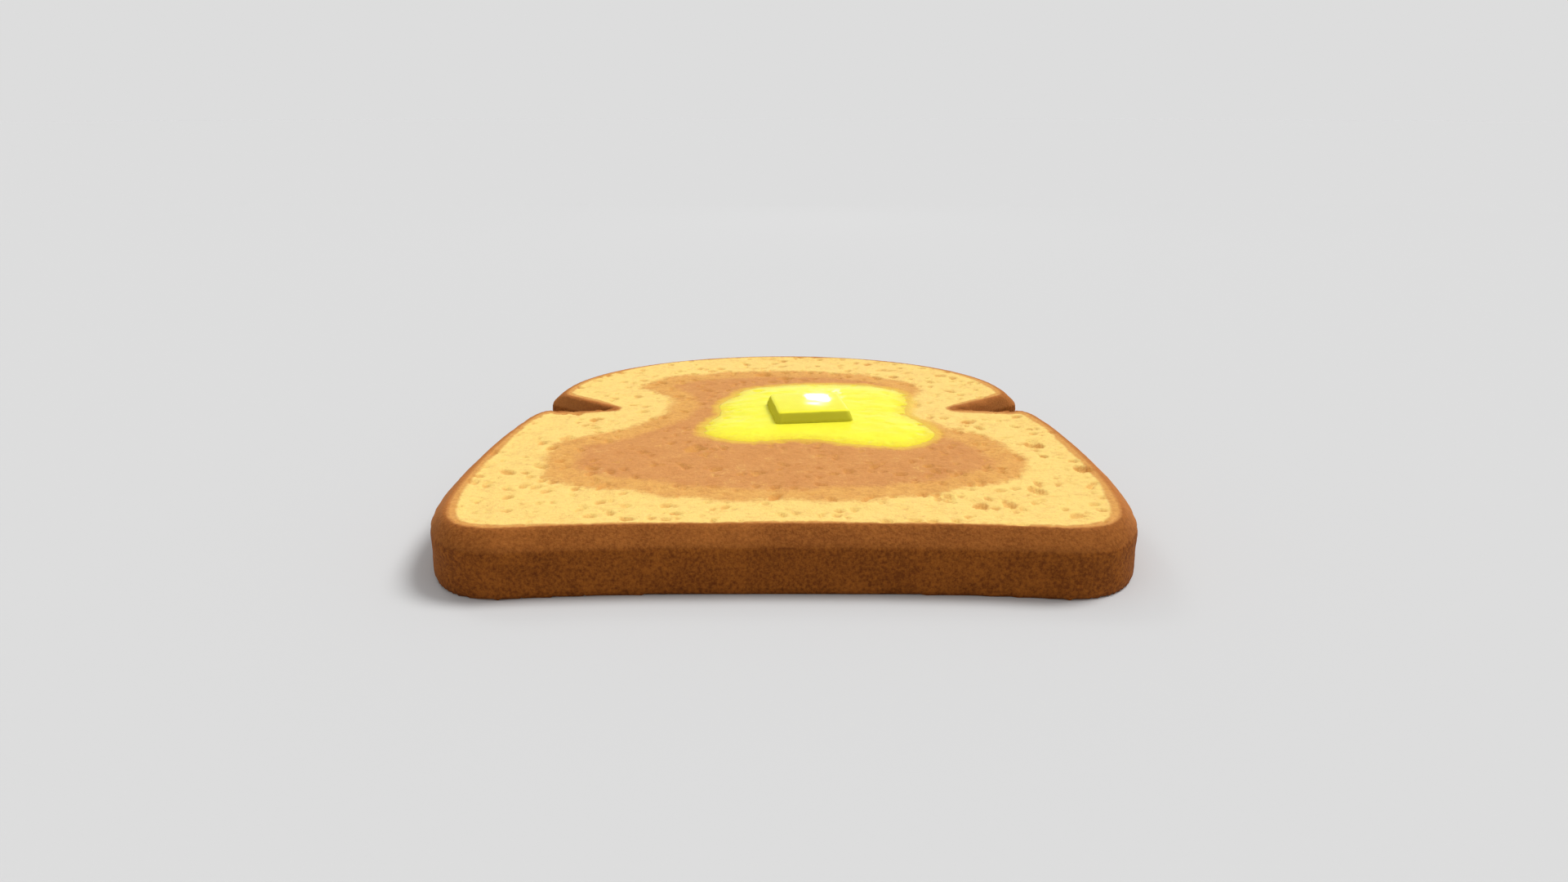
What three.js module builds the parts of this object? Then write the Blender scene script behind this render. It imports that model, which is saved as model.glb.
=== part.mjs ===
// Buttered toast: one slice of a domed sandwich loaf lying flat, a shallow puddle of
// melted butter on its upper face, and a softening square pat of butter on the puddle.
// Millimetres, +Z up. The underside lies on z = 0, the slice is centred on x = 0 and
// the loaf's dome points along +Y.

import * as THREE from 'three';

const { degToRad, smoothstep } = THREE.MathUtils;

// ---- Slice: outer sizes --------------------------------------------------------

const SLICE_WIDTH = 122.2;
const SLICE_LENGTH = 128;
const SLICE_THICKNESS = 11;

// ---- Slice: outline of the right half, which is mirrored -----------------------

const BASE_HOLLOW = 2.2;          // how far the base edge bows in between its corners
const BASE_LEVEL_HANDLE = 26;     // the bow stays level this far, then dips to the corner
const BASE_DIP_HANDLE = new THREE.Vector2(9.4, 1.3);
const BASE_CORNER_X = 45.4;       // where the base edge turns into the corner's round
const CORNER_HANDLE = 9.5;
const SIDE_START_Y = -34;         // above this the side leans in towards the notch
const SIDE_LOWER_HANDLE = 23.5;
const SIDE_UPPER_HANDLE = 14;
const SHOULDER_LEAN = 3.5;        // how far it has leaned in where the shoulder starts
const SHOULDER_Y = 2.8;
const SHOULDER_SLOPE = new THREE.Vector2(-0.9, 3.8);
const SHOULDER_HANDLE_BACK = 2.3; // handle towards the side, in lengths of the slope
const SHOULDER_END_X = 50.5;
const LIP_HANDLE_SHARE = 0.62;    // of the way from the shoulder's end to its start

const NOTCH_TIP = new THREE.Vector2(38.4, 10.3); // centre of the tip's small round
const NOTCH_TIP_RADIUS = 0.25;
const NOTCH_LOWER_ANGLE = degToRad(-6.6);
const NOTCH_UPPER_ANGLE = degToRad(38.2);
const NOTCH_BEVEL_SHARE = 0.1;    // the bevel narrows to this share inside a notch

const DOME_HALF_WIDTH = 54.5;
const DOME_RISE = 41.4;
const DOME_START_ANGLE = degToRad(2.5);
const DOME_CORNER_ROUND = 2.2;

// Steps along each stretch of the half outline, from the base to the crown.
const STEPS = { base: 14, corner: 12, side: 11, shoulder: 6, lip: 5, tip: 4, wall: 5, ear: 4, dome: 24 };

// ---- Slice: section from the underside over the crust to the crumb -------------

const UNDERSIDE_BAND = 6;         // ring of the flat underside just inside the crust
const BEVEL_START_Z = 8;          // the upright crust turns into the bevel here
const BEVEL_WIDTH = 3;
const CRUST_ROUND = 0.5;          // softens the foot and both ends of the bevel
const CRUST_ROUND_STEPS = 2;
const RIM_WIDTH = 1.6;            // the crust's rim stands proud of the crumb
const RIM_SLOPE_WIDTH = 4;
const CRUMB_LEVEL = 10.75;
const CRUMB_SWELL = 0.2;          // height of the crumb's gentle waves
const CRUMB_RINGS = 9;
const FAN_CENTRE = new THREE.Vector2(0, 7);      // every ring can be seen whole from here

// ---- Butter --------------------------------------------------------------------

const PUDDLE_TOP_Z = 11.5;
const PUDDLE_EDGE_WIDTH = 2.2;
const PUDDLE_EDGE_STEPS = 4;
const PUDDLE_STEPS = 84;
const PUDDLE_CENTRE = new THREE.Vector2(7, 7);
const LEVEL_RADIUS = 33;          // the crumb is level where the butter lies
const LEVEL_BLEND = 9;

// Lobes and hollows of the puddle's edge, clockwise from its upper left.
const PUDDLE_EDGE = [
  [-11.5, 21.8], [-8.8, 27.2], [-2, 30.2], [7, 32.1], [20.5, 30.4], [27.6, 24.6],
  [28.3, 14], [26.9, 5], [30.2, -2], [31.1, -10], [25.2, -17.6], [15, -16.6],
  [4, -12.7], [-8, -14.4], [-16.4, -9.4], [-16.9, -2], [-14.2, 5], [-14.8, 12.4],
];

const PAT_BASE_SIDE = 17;
const PAT_TOP_SIDE = 15.2;
const PAT_HEIGHT = 2.4;
const PAT_CENTRE = new THREE.Vector2(5.35, 4.7);
const PAT_TURN = degToRad(8);
const PAT_CORNER_RADIUS = 1;
const PAT_CORNER_STEPS = 5;
const PAT_RIM = 2;                // flat band inside the top and bottom edges
const PAT_EDGE_ROUND = 0.4;
const PAT_EDGE_STEPS = 2;

// ---- Outline of the slice ------------------------------------------------------

const point = (x, y) => new THREE.Vector2(x, y);

// A point at a distance along a direction given by its angle.
function along(start, angle, distance) {
  return point(Math.cos(angle), Math.sin(angle)).multiplyScalar(distance).add(start);
}

// The stretches of the right half outline, moved inwards by inset (less in the notch).
function halfOutlineCurves(inset) {
  const halfWidth = SLICE_WIDTH / 2 - inset;
  const baseY = -SLICE_LENGTH / 2 + inset;
  const tipRadius = NOTCH_TIP_RADIUS + inset * NOTCH_BEVEL_SHARE;

  const baseMiddle = point(0, baseY + BASE_HOLLOW);
  const cornerStart = point(BASE_CORNER_X, baseY);
  const sideStart = point(halfWidth, SIDE_START_Y);
  const shoulderStart = point(halfWidth - SHOULDER_LEAN, SHOULDER_Y);
  const shoulderHandle = SHOULDER_SLOPE.clone().add(shoulderStart);
  const sideHandle = SHOULDER_SLOPE.clone().multiplyScalar(-SHOULDER_HANDLE_BACK).add(shoulderStart);

  const lowerTangent = along(NOTCH_TIP, NOTCH_LOWER_ANGLE - Math.PI / 2, tipRadius);
  const upperTangent = along(NOTCH_TIP, NOTCH_UPPER_ANGLE + Math.PI / 2, tipRadius);
  const lipLength = (SHOULDER_END_X - lowerTangent.x) / Math.cos(NOTCH_LOWER_ANGLE);
  const lipEnd = along(lowerTangent, NOTCH_LOWER_ANGLE, lipLength);
  const lipHandleLength = LIP_HANDLE_SHARE * (shoulderStart.x - SHOULDER_END_X);
  const lipHandle = along(lipEnd, NOTCH_LOWER_ANGLE, lipHandleLength);

  const domeHalfWidth = DOME_HALF_WIDTH - inset;
  const domeRise = DOME_RISE - inset;
  const domeCentreY = SLICE_LENGTH / 2 - DOME_RISE;
  const wallLength = (domeHalfWidth - upperTangent.x) / Math.cos(NOTCH_UPPER_ANGLE);
  const earCorner = along(upperTangent, NOTCH_UPPER_ANGLE, wallLength);
  const earStart = along(upperTangent, NOTCH_UPPER_ANGLE, wallLength - DOME_CORNER_ROUND);
  const dome = new THREE.EllipseCurve(
    0, domeCentreY, domeHalfWidth, domeRise, DOME_START_ANGLE, Math.PI / 2);

  return {
    base: new THREE.CubicBezierCurve(
      baseMiddle,
      point(BASE_LEVEL_HANDLE, baseMiddle.y),
      point(BASE_CORNER_X - BASE_DIP_HANDLE.x, baseY + BASE_DIP_HANDLE.y),
      cornerStart),
    corner: new THREE.CubicBezierCurve(
      cornerStart,
      point(BASE_CORNER_X + CORNER_HANDLE, baseY),
      point(halfWidth, SIDE_START_Y - SIDE_LOWER_HANDLE),
      sideStart),
    side: new THREE.CubicBezierCurve(
      sideStart, point(halfWidth, SIDE_START_Y + SIDE_UPPER_HANDLE), sideHandle, shoulderStart),
    shoulder: new THREE.CubicBezierCurve(shoulderStart, shoulderHandle, lipHandle, lipEnd),
    lip: new THREE.LineCurve(lipEnd, lowerTangent),
    tip: new THREE.EllipseCurve(
      NOTCH_TIP.x, NOTCH_TIP.y, tipRadius, tipRadius,
      NOTCH_LOWER_ANGLE - Math.PI / 2, NOTCH_UPPER_ANGLE + Math.PI / 2, true),
    wall: new THREE.LineCurve(upperTangent, earStart),
    ear: new THREE.QuadraticBezierCurve(earStart, earCorner, dome.getPoint(0)),
    dome,
  };
}

// The whole outline, anticlockwise from the middle of the base, each point once.
function sliceOutline(inset) {
  const curves = halfOutlineCurves(inset);
  const right = [];
  for (const [name, steps] of Object.entries(STEPS)) {
    right.push(...curves[name].getSpacedPoints(steps).slice(0, steps));
  }
  const crown = curves.dome.getPoint(1);
  const left = right.slice(1).reverse().map((p) => point(-p.x, p.y));
  return [...right, crown, ...left];
}

// ---- Closed solids from stacked rings ------------------------------------------

const ringAt = (outline, z) => outline.map((p) => new THREE.Vector3(p.x, p.y, z));

// Skins the rings in order from the lowest to the last, and fans both ends shut.
function loft(rings, startCentre, endCentre) {
  const count = rings[0].length;
  const vertices = [startCentre, ...rings.flat(), endCentre];
  const last = vertices.length - 1;
  const index = [];
  for (let i = 0; i < count; i += 1) {
    const next = (i + 1) % count;
    index.push(0, 1 + next, 1 + i);
    for (let ring = 0; ring < rings.length - 1; ring += 1) {
      const low = 1 + ring * count;
      const high = low + count;
      index.push(low + i, low + next, high + next);
      index.push(low + i, high + next, high + i);
    }
    index.push(last - count + i, last - count + next, last);
  }
  const geometry = new THREE.BufferGeometry().setFromPoints(vertices);
  geometry.setIndex(index);
  geometry.computeVertexNormals();
  return geometry;
}

// A section through the given corners with every inner corner softened by a short curve.
function softenedSection(corners, round, steps) {
  const section = [corners[0]];
  for (let i = 1; i < corners.length - 1; i += 1) {
    const corner = corners[i];
    const start = corners[i - 1].clone().sub(corner).setLength(round).add(corner);
    const end = corners[i + 1].clone().sub(corner).setLength(round).add(corner);
    section.push(...new THREE.QuadraticBezierCurve(start, corner, end).getPoints(steps));
  }
  section.push(corners[corners.length - 1]);
  return section;
}

// Moves a closed anticlockwise outline inwards along its own normals.
function insetOutline(outline, inset) {
  const count = outline.length;
  return outline.map((p, i) => {
    const before = outline[(i + count - 1) % count];
    const after = outline[(i + 1) % count];
    const inward = point(before.y - after.y, after.x - before.x).normalize();
    return inward.multiplyScalar(inset).add(p);
  });
}

// ---- Toast slice ---------------------------------------------------------------

// Height of the crumb's face: gentle waves that die out under the butter.
function crumbHeight(x, y) {
  const fromButter = Math.hypot(x - PUDDLE_CENTRE.x, y - PUDDLE_CENTRE.y);
  const freedom = smoothstep(fromButter, LEVEL_RADIUS, LEVEL_RADIUS + LEVEL_BLEND);
  const waves = Math.sin(x / 5.1 + 0.8) * Math.cos(y / 6.3 - 0.5);
  const ripples = Math.sin((x + y) / 3.9) * Math.cos((x - 2 * y) / 7.7);
  return CRUMB_LEVEL + CRUMB_SWELL * freedom * (0.6 * waves + 0.4 * ripples);
}

// Foot, upright crust, bevel and rim. A section's x is how far inside the outline it runs.
function crustRings() {
  const corners = [
    point(UNDERSIDE_BAND, 0),
    point(0, 0),
    point(0, BEVEL_START_Z),
    point(BEVEL_WIDTH, SLICE_THICKNESS),
    point(BEVEL_WIDTH + RIM_WIDTH, SLICE_THICKNESS),
  ];
  const section = softenedSection(corners, CRUST_ROUND, CRUST_ROUND_STEPS);
  return section.map((p) => ringAt(sliceOutline(p.x), p.y));
}

// The crumb's face inside the rim, in rings that close in on the fan's centre.
function crumbRings() {
  const edge = sliceOutline(BEVEL_WIDTH + RIM_WIDTH + RIM_SLOPE_WIDTH);
  const rings = [];
  for (let ring = CRUMB_RINGS; ring > 0; ring -= 1) {
    const outline = edge.map((p) => FAN_CENTRE.clone().lerp(p, ring / CRUMB_RINGS));
    rings.push(outline.map((p) => new THREE.Vector3(p.x, p.y, crumbHeight(p.x, p.y))));
  }
  return rings;
}

function toastSlice() {
  const underside = new THREE.Vector3(FAN_CENTRE.x, FAN_CENTRE.y, 0);
  const middle = new THREE.Vector3(FAN_CENTRE.x, FAN_CENTRE.y, CRUMB_LEVEL);
  const material = new THREE.MeshStandardMaterial({
    color: 0xe0a763, roughness: 0.85, metalness: 0,
  });
  const geometry = loft([...crustRings(), ...crumbRings()], underside, middle);
  const mesh = new THREE.Mesh(geometry, material);
  mesh.name = 'toast_slice';
  return mesh;
}

// ---- Butter puddle -------------------------------------------------------------

function puddleOutline() {
  const corners = PUDDLE_EDGE.map(([x, y]) => new THREE.Vector3(x, y, 0)).reverse();
  const edge = new THREE.CatmullRomCurve3(corners, true, 'centripetal');
  return edge.getSpacedPoints(PUDDLE_STEPS).slice(0, PUDDLE_STEPS).map((p) => point(p.x, p.y));
}

// The edge swells up in a quarter round, steep at its foot and level at the top.
function butterPuddle() {
  const outline = puddleOutline();
  const depth = PUDDLE_TOP_Z - CRUMB_LEVEL;
  const rings = [];
  for (let step = 0; step <= PUDDLE_EDGE_STEPS; step += 1) {
    const angle = (step / PUDDLE_EDGE_STEPS) * (Math.PI / 2);
    const inset = PUDDLE_EDGE_WIDTH * (1 - Math.cos(angle));
    rings.push(ringAt(insetOutline(outline, inset), CRUMB_LEVEL + depth * Math.sin(angle)));
  }
  const foot = new THREE.Vector3(PUDDLE_CENTRE.x, PUDDLE_CENTRE.y, CRUMB_LEVEL);
  const top = new THREE.Vector3(PUDDLE_CENTRE.x, PUDDLE_CENTRE.y, PUDDLE_TOP_Z);
  const material = new THREE.MeshStandardMaterial({
    color: 0xfde84c, roughness: 0.2, metalness: 0,
  });
  const mesh = new THREE.Mesh(loft(rings, foot, top), material);
  mesh.name = 'butter_puddle';
  return mesh;
}

// ---- Butter pat ----------------------------------------------------------------

// A square with rounded corners, centred on the origin, anticlockwise.
function roundedSquare(side, radius) {
  const reach = side / 2 - radius;
  const outline = [];
  for (let corner = 0; corner < 4; corner += 1) {
    const turn = (corner * Math.PI) / 2;
    const centre = along(point(0, 0), turn + Math.PI / 4, reach * Math.SQRT2);
    for (let step = 0; step < PAT_CORNER_STEPS; step += 1) {
      const sweep = (step / (PAT_CORNER_STEPS - 1)) * (Math.PI / 2);
      outline.push(along(centre, turn + sweep, radius));
    }
  }
  return outline;
}

// The pat's sides flare out towards its foot. A section's x is its inset from the base.
function butterPat() {
  const flare = (PAT_BASE_SIDE - PAT_TOP_SIDE) / 2;
  const corners = [
    point(PAT_RIM, 0),
    point(0, 0),
    point(flare, PAT_HEIGHT),
    point(flare + PAT_RIM, PAT_HEIGHT),
  ];
  const section = softenedSection(corners, PAT_EDGE_ROUND, PAT_EDGE_STEPS);
  const rings = section.map((p) => {
    const outline = roundedSquare(PAT_BASE_SIDE - 2 * p.x, PAT_CORNER_RADIUS);
    return ringAt(outline, p.y);
  });
  const material = new THREE.MeshStandardMaterial({
    color: 0xf6d94a, roughness: 0.4, metalness: 0,
  });
  const geometry = loft(rings, new THREE.Vector3(0, 0, 0), new THREE.Vector3(0, 0, PAT_HEIGHT));
  const mesh = new THREE.Mesh(geometry, material);
  mesh.name = 'butter_pat';
  mesh.position.set(PAT_CENTRE.x, PAT_CENTRE.y, PUDDLE_TOP_Z);
  mesh.rotation.z = PAT_TURN;
  return mesh;
}

// ---- Buttered toast ------------------------------------------------------------

const butteredToast = new THREE.Group();
butteredToast.name = 'buttered_toast';
butteredToast.add(toastSlice(), butterPuddle(), butterPat());

export default butteredToast;
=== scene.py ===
import math

import bpy
import numpy as np
from bpy.props import FloatProperty, FloatVectorProperty, PointerProperty
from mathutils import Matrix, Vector


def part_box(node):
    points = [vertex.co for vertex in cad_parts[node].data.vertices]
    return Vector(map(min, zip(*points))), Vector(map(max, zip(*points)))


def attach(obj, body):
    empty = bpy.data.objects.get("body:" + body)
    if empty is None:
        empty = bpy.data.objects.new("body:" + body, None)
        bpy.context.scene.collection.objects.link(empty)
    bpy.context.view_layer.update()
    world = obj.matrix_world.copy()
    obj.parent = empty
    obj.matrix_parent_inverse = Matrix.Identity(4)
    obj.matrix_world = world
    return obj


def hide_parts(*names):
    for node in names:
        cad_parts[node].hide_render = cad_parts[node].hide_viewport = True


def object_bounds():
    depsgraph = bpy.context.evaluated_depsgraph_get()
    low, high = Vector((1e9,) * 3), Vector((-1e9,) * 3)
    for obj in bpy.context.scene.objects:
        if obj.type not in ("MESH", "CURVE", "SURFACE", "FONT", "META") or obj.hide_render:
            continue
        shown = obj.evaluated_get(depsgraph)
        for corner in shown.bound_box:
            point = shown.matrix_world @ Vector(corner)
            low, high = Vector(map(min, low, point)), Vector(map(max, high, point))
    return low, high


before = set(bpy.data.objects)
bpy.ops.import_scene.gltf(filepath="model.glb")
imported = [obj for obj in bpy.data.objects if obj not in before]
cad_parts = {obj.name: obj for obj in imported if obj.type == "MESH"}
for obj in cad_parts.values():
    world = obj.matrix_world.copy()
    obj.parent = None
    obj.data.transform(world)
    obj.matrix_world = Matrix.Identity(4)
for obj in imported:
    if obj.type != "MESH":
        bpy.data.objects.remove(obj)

bl_info = {
    "name": "Buttered Toast",
    "version": (1, 0, 0),
    "blender": (4, 5, 0),
    "location": "View3D > Sidebar > Toast",
    "description": "Bakes a slice of toast with its crumb, crust, melted butter and pat of butter",
    "category": "Object",
}

MM = 0.001
MERGED = 0.002 * MM                 # vertices closer than this become one
CAD_LOW, CAD_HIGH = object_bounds()
SLICE_LOW, SLICE_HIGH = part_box("toast_slice")
PUDDLE_LOW, PUDDLE_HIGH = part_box("butter_puddle")
PAT_LOW, PAT_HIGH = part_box("butter_pat")
HALF_THICKNESS = (SLICE_LOW.z + SLICE_HIGH.z) / 2
CRUMB_LEVEL = PUDDLE_LOW.z          # the butter lies on the crumb here

# Edge of the browned middle of the crumb, in millimetres, seen from above: it starts below
# the crown and runs anticlockwise, down the left side, along the base and up the right side.
BROWNED_EDGE = [
    (0, 45.5), (-19.5, 43), (-31.5, 35), (-33.5, 29), (-29.5, 23.5), (-26.5, 18),
    (-25.5, 10.5), (-27.5, 3.5), (-31.5, -2), (-39, -9), (-45, -15), (-45.5, -25),
    (-43, -35.5), (-34.5, -40.5), (-19.5, -45.5), (0, -48), (17.5, -46.5), (29.5, -42.5),
    (42, -35.5), (45.5, -29.5), (45, -20), (39, -8), (31.5, -0.5), (25.5, 6),
    (26, 15), (31, 23), (31, 31), (26, 37.5), (17, 42.5),
]


def colour(name, description, red, green, blue):
    """A colour property whose default is given as the 0 to 255 values that a colour picker shows."""
    def linear(value):
        value /= 255
        return value / 12.92 if value <= 0.04045 else ((value + 0.055) / 1.055) ** 2.4
    return FloatVectorProperty(
        name=name, description=description, subtype="COLOR", size=3, min=0, max=1,
        default=(linear(red), linear(green), linear(blue)))


def length(name, description, millimetres):
    return FloatProperty(
        name=name, description=description, unit="LENGTH", min=0, precision=5,
        default=millimetres * MM)


class ToastBreadSettings(bpy.types.PropertyGroup):
    """Sizes and colours of the toasted slice."""

    voxel: length("Voxel", "Grid of the slice's mesh; the upper crumb gets twice as fine a one", 0.9)
    bubble: length("Bubble", "Largest radius of the crumb's open bubbles", 1.9)
    bubble_spacing: length("Bubble spacing", "Usual distance between open bubbles", 5.6)
    pinhole: length("Pinhole", "Largest radius of the crumb's small holes", 1.05)
    pinhole_spacing: length("Pinhole spacing", "Usual distance between small holes", 2.4)
    bubble_depth: FloatProperty(
        name="Bubble depth", description="Depth of a hole as a share of its radius",
        subtype="FACTOR", default=0.68, min=0, max=1)
    pore: length("Pore", "Usual size of the crumb's finest pores", 0.8)
    pore_depth: length("Pore depth", "Depth of the crumb's finest pores", 0.14)
    roughness_height: length("Crumb roughness", "Height of the crumb's rough cell walls", 0.26)
    wrinkle_height: length("Crust wrinkles", "Height of the crust's shallow wrinkles", 0.35)
    crust_lip: length("Crust lip", "How far the crust laps over the edge of the crumb", 0.6)
    crisp_edges: FloatProperty(
        name="Crisp edges", description="How far the crust's rounded creases are sharpened again",
        default=1.3, min=0)
    thin_line: length("Thin crust line", "Width of the tan line at the base and the crown", 0.5)
    wide_line: length("Wide crust line", "Width of the tan line at the sides and in the notches", 1.3)
    ring_width: length("Ring width", "Width of the lightly browned ring round the brown middle", 6.3)
    pale: colour("Pale crumb", "Crumb that has hardly browned", 251, 214, 124)
    warm: colour("Warm crumb", "Lightly browned crumb", 228, 168, 90)
    brown: colour("Brown crumb", "Well browned crumb", 215, 149, 86)
    toasted: colour("Toasted specks", "Raised crumb that has browned the most", 186, 116, 58)
    line: colour("Crust line", "Tan line where the crumb meets the crust", 226, 166, 88)
    line_dark: colour("Crust line, dark", "Browner edges and flecks of the tan line", 192, 124, 62)
    crust: colour("Crust", "Upright crust", 168, 97, 32)
    crust_dark: colour("Dark crust", "Darkest specks of the crust", 100, 48, 10)
    # The bevel's crust colours are lighter than the upright crust's: partly the crust's own paler edge,
    # partly painted light on the upward-facing bevel.
    crust_light_partly_lit: colour("Light crust", "Lighter specks of the crust's bevelled upper edge", 170, 102, 42)
    crust_middle_partly_lit: colour("Bevel crust", "Darker specks of the crust's bevelled upper edge", 126, 69, 22)
    # Painted light: a paler crust for the bevel at the slice's sides, standing in for the light that falls
    # there.
    crust_side_lit: colour("Side crust", "Paler upper edge of the crust at the slice's sides", 216, 138, 72)
    soaked: colour("Soaked crumb", "Crumb that has drawn in melted butter", 240, 196, 60)


class ToastButterSettings(bpy.types.PropertyGroup):
    """Sizes and colours of the melted butter and the pat."""

    film_voxel: length("Film voxel", "Grid of the melted butter's mesh", 0.42)
    film_edge: length("Film edge", "How far in from its edge the melted butter reaches its depth", 7.5)
    meniscus: length("Meniscus", "How high the melted butter climbs round the pat", 0.1)
    meniscus_width: length("Meniscus width", "How far from the pat the climb starts", 0.8)
    pat_voxel: length("Pat voxel", "Grid of the pat's mesh", 0.24)
    pat_softness: length("Pat softness", "Height of the pat's soft unevenness", 0.3)
    pat_crown: length("Pat crown", "How far the pat's upper face falls off towards its edges", 0.07)
    melted: colour("Melted butter", "Deep part of the melted butter", 255, 249, 68)
    melted_edge: colour("Melted edge", "Thin edge of the melted butter", 248, 220, 60)
    golden: colour("Golden butter", "Clearer, more golden clouds in the melted butter", 254, 236, 52)
    bread_below: colour("Bread below", "Soaked crumb that shows through the thin butter", 232, 184, 58)
    pat: colour("Pat", "Softened butter of the pat", 255, 249, 56)
    pat_deep: colour("Pat, deeper", "Warmer streaks in the pat", 252, 238, 54)
    # Painted shade: the pat's sides are darker than its upper face, as if in shade.
    pat_side_shaded: colour("Pat, cut side", "Cut sides of the pat", 201, 197, 58)


class ToastStageSettings(bpy.types.PropertyGroup):
    """Light, floor and camera."""

    camera_distance: length("Camera distance", "From the middle of the slice to the camera", 231.3)
    camera_elevation: FloatProperty(
        name="Camera elevation", description="Height of the camera above the floor, as an angle",
        subtype="ANGLE", default=math.radians(17.55))
    camera_fov: FloatProperty(
        name="Field of view", description="Across the frame's height",
        subtype="ANGLE", default=math.radians(45))
    floor: colour("Floor", "Plain pale floor", 210, 210, 210)
    key_strength: FloatProperty(
        name="Key light", description="Strength of the soft light from the right", default=2.05, min=0)
    sky_strength: FloatProperty(
        name="Sky light", description="Strength of the soft light from overhead", default=0.63, min=0)
    side_sky: FloatProperty(
        name="Side light", description="Strength of the even light from the sides", default=0.3, min=0)
    glint_strength: FloatProperty(
        name="Glint light", description="Power of the small lamp that shines in the butter",
        subtype="POWER", default=0.015, min=0)
    back_strength: FloatProperty(
        name="Back light", description="Strength of the light from behind, which shines in the butter",
        default=0.22, min=0)


# ---- Node trees ----------------------------------------------------------------


class Graph:
    """Adds and wires the nodes of one tree. A value may be a number, a colour or another node's socket."""

    def __init__(self, tree):
        self.tree = tree

    def node(self, kind, inputs=None, **settings):
        made = self.tree.nodes.new(kind)
        for key, value in settings.items():
            setattr(made, key, value)
        for key, value in (inputs or {}).items():
            socket = made.inputs[key]
            if isinstance(value, bpy.types.NodeSocket):
                self.tree.links.new(value, socket)
            else:
                socket.default_value = value
        return made

    def math(self, operation, *values):
        return self.node("ShaderNodeMath", dict(enumerate(values)), operation=operation).outputs[0]

    def vector(self, operation, *values):
        return self.node("ShaderNodeVectorMath", dict(enumerate(values)), operation=operation).outputs[0]

    def scaled(self, vector, factor):
        made = self.node("ShaderNodeVectorMath", {0: vector, "Scale": factor}, operation="SCALE")
        return made.outputs[0]

    def up(self, value):
        """A vector that points straight up, as long as the value."""
        return self.node("ShaderNodeCombineXYZ", {"Z": value}).outputs[0]

    def blurred(self, vector, steps):
        """A vector field averaged with its neighbours on the mesh."""
        made = self.node("GeometryNodeBlurAttribute", {0: vector, 1: steps}, data_type="FLOAT_VECTOR")
        return made.outputs[0]

    def split(self, vector):
        return self.node("ShaderNodeSeparateXYZ", {0: vector}).outputs

    def smooth(self, value, low, high, start=0.0, end=1.0):
        """Eases from start to end while the value goes from low to high."""
        inputs = {"Value": value, "From Min": low, "From Max": high, "To Min": start, "To Max": end}
        return self.node("ShaderNodeMapRange", inputs, interpolation_type="SMOOTHSTEP").outputs[0]

    def noise(self, position, size, detail=2.0, rough=0.5):
        """Soft noise round zero, with features of about the given size."""
        inputs = {"Vector": position, "Scale": 1 / size, "Detail": detail, "Roughness": rough}
        made = self.node("ShaderNodeTexNoise", inputs)
        return self.math("SUBTRACT", made.outputs[0], 0.5)

    def warped(self, position, size, reach, detail=1.0):
        """The position shifted by noise, so that round patterns lose their roundness."""
        made = self.node("ShaderNodeTexNoise", {"Vector": position, "Scale": 1 / size, "Detail": detail})
        centred = self.vector("SUBTRACT", made.outputs["Color"], (0.5, 0.5, 0.5))
        return self.vector("ADD", position, self.scaled(centred, reach))

    def bubbles(self, position, spacing, largest, share):
        """Depth of open round bubbles of random size; a share of the cells hold none."""
        cells = self.node("ShaderNodeTexVoronoi", {"Vector": position, "Scale": 1 / spacing})
        chance = self.split(cells.outputs["Color"])[0]
        radius = self.math("MULTIPLY", self.smooth(chance, share, 1.0, 0.25, 1.0), largest)
        open_cell = self.math("GREATER_THAN", chance, share)
        distance = self.math("MULTIPLY", cells.outputs["Distance"], spacing)
        inside = self.math(
            "SUBTRACT", self.math("MULTIPLY", radius, radius), self.math("MULTIPLY", distance, distance))
        depth = self.math("SQRT", self.math("MAXIMUM", inside, 0.0))
        return self.math("MULTIPLY", depth, open_cell)

    def mix(self, factor, first, second):
        return self.node("ShaderNodeMix", {0: factor, 6: first, 7: second}, data_type="RGBA").outputs[2]


def rgba(value):
    return (*value, 1.0)


# ---- Mesh helpers --------------------------------------------------------------


def only(piece):
    """Selects one object alone and makes it active."""
    bpy.ops.object.select_all(action="DESELECT")
    piece.select_set(True)
    bpy.context.view_layer.objects.active = piece


def copy_of_node(node, name):
    """A free copy of a CAD node under a new name, with its loose triangles merged."""
    piece = bpy.data.objects.new(name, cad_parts[node].data.copy())
    bpy.context.scene.collection.objects.link(piece)
    piece.data.name = name
    piece.data.materials.clear()
    only(piece)
    bpy.ops.object.mode_set(mode="EDIT")
    bpy.ops.mesh.select_all(action="SELECT")
    bpy.ops.mesh.remove_doubles(threshold=MERGED)
    bpy.ops.object.mode_set(mode="OBJECT")
    return piece


def apply_modifier(piece, kind, **settings):
    only(piece)
    modifier = piece.modifiers.new(kind.title(), kind)
    for key, value in settings.items():
        setattr(modifier, key, value)
    bpy.ops.object.modifier_apply(modifier=modifier.name)


def select_faces(piece, wanted):
    """Selects the faces for which wanted(face) is true, in face mode."""
    only(piece)
    bpy.ops.object.mode_set(mode="EDIT")
    bpy.ops.mesh.select_mode(type="FACE")
    bpy.ops.mesh.select_all(action="DESELECT")
    bpy.ops.object.mode_set(mode="OBJECT")
    for face in piece.data.polygons:
        face.select = wanted(face)


def positions(mesh):
    points = np.empty(len(mesh.vertices) * 3, np.float32)
    mesh.vertices.foreach_get("co", points)
    return points.reshape(-1, 3).astype(float)


def normals(mesh):
    directions = np.empty(len(mesh.vertices) * 3, np.float32)
    mesh.vertices.foreach_get("normal", directions)
    return directions.reshape(-1, 3)


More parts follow.
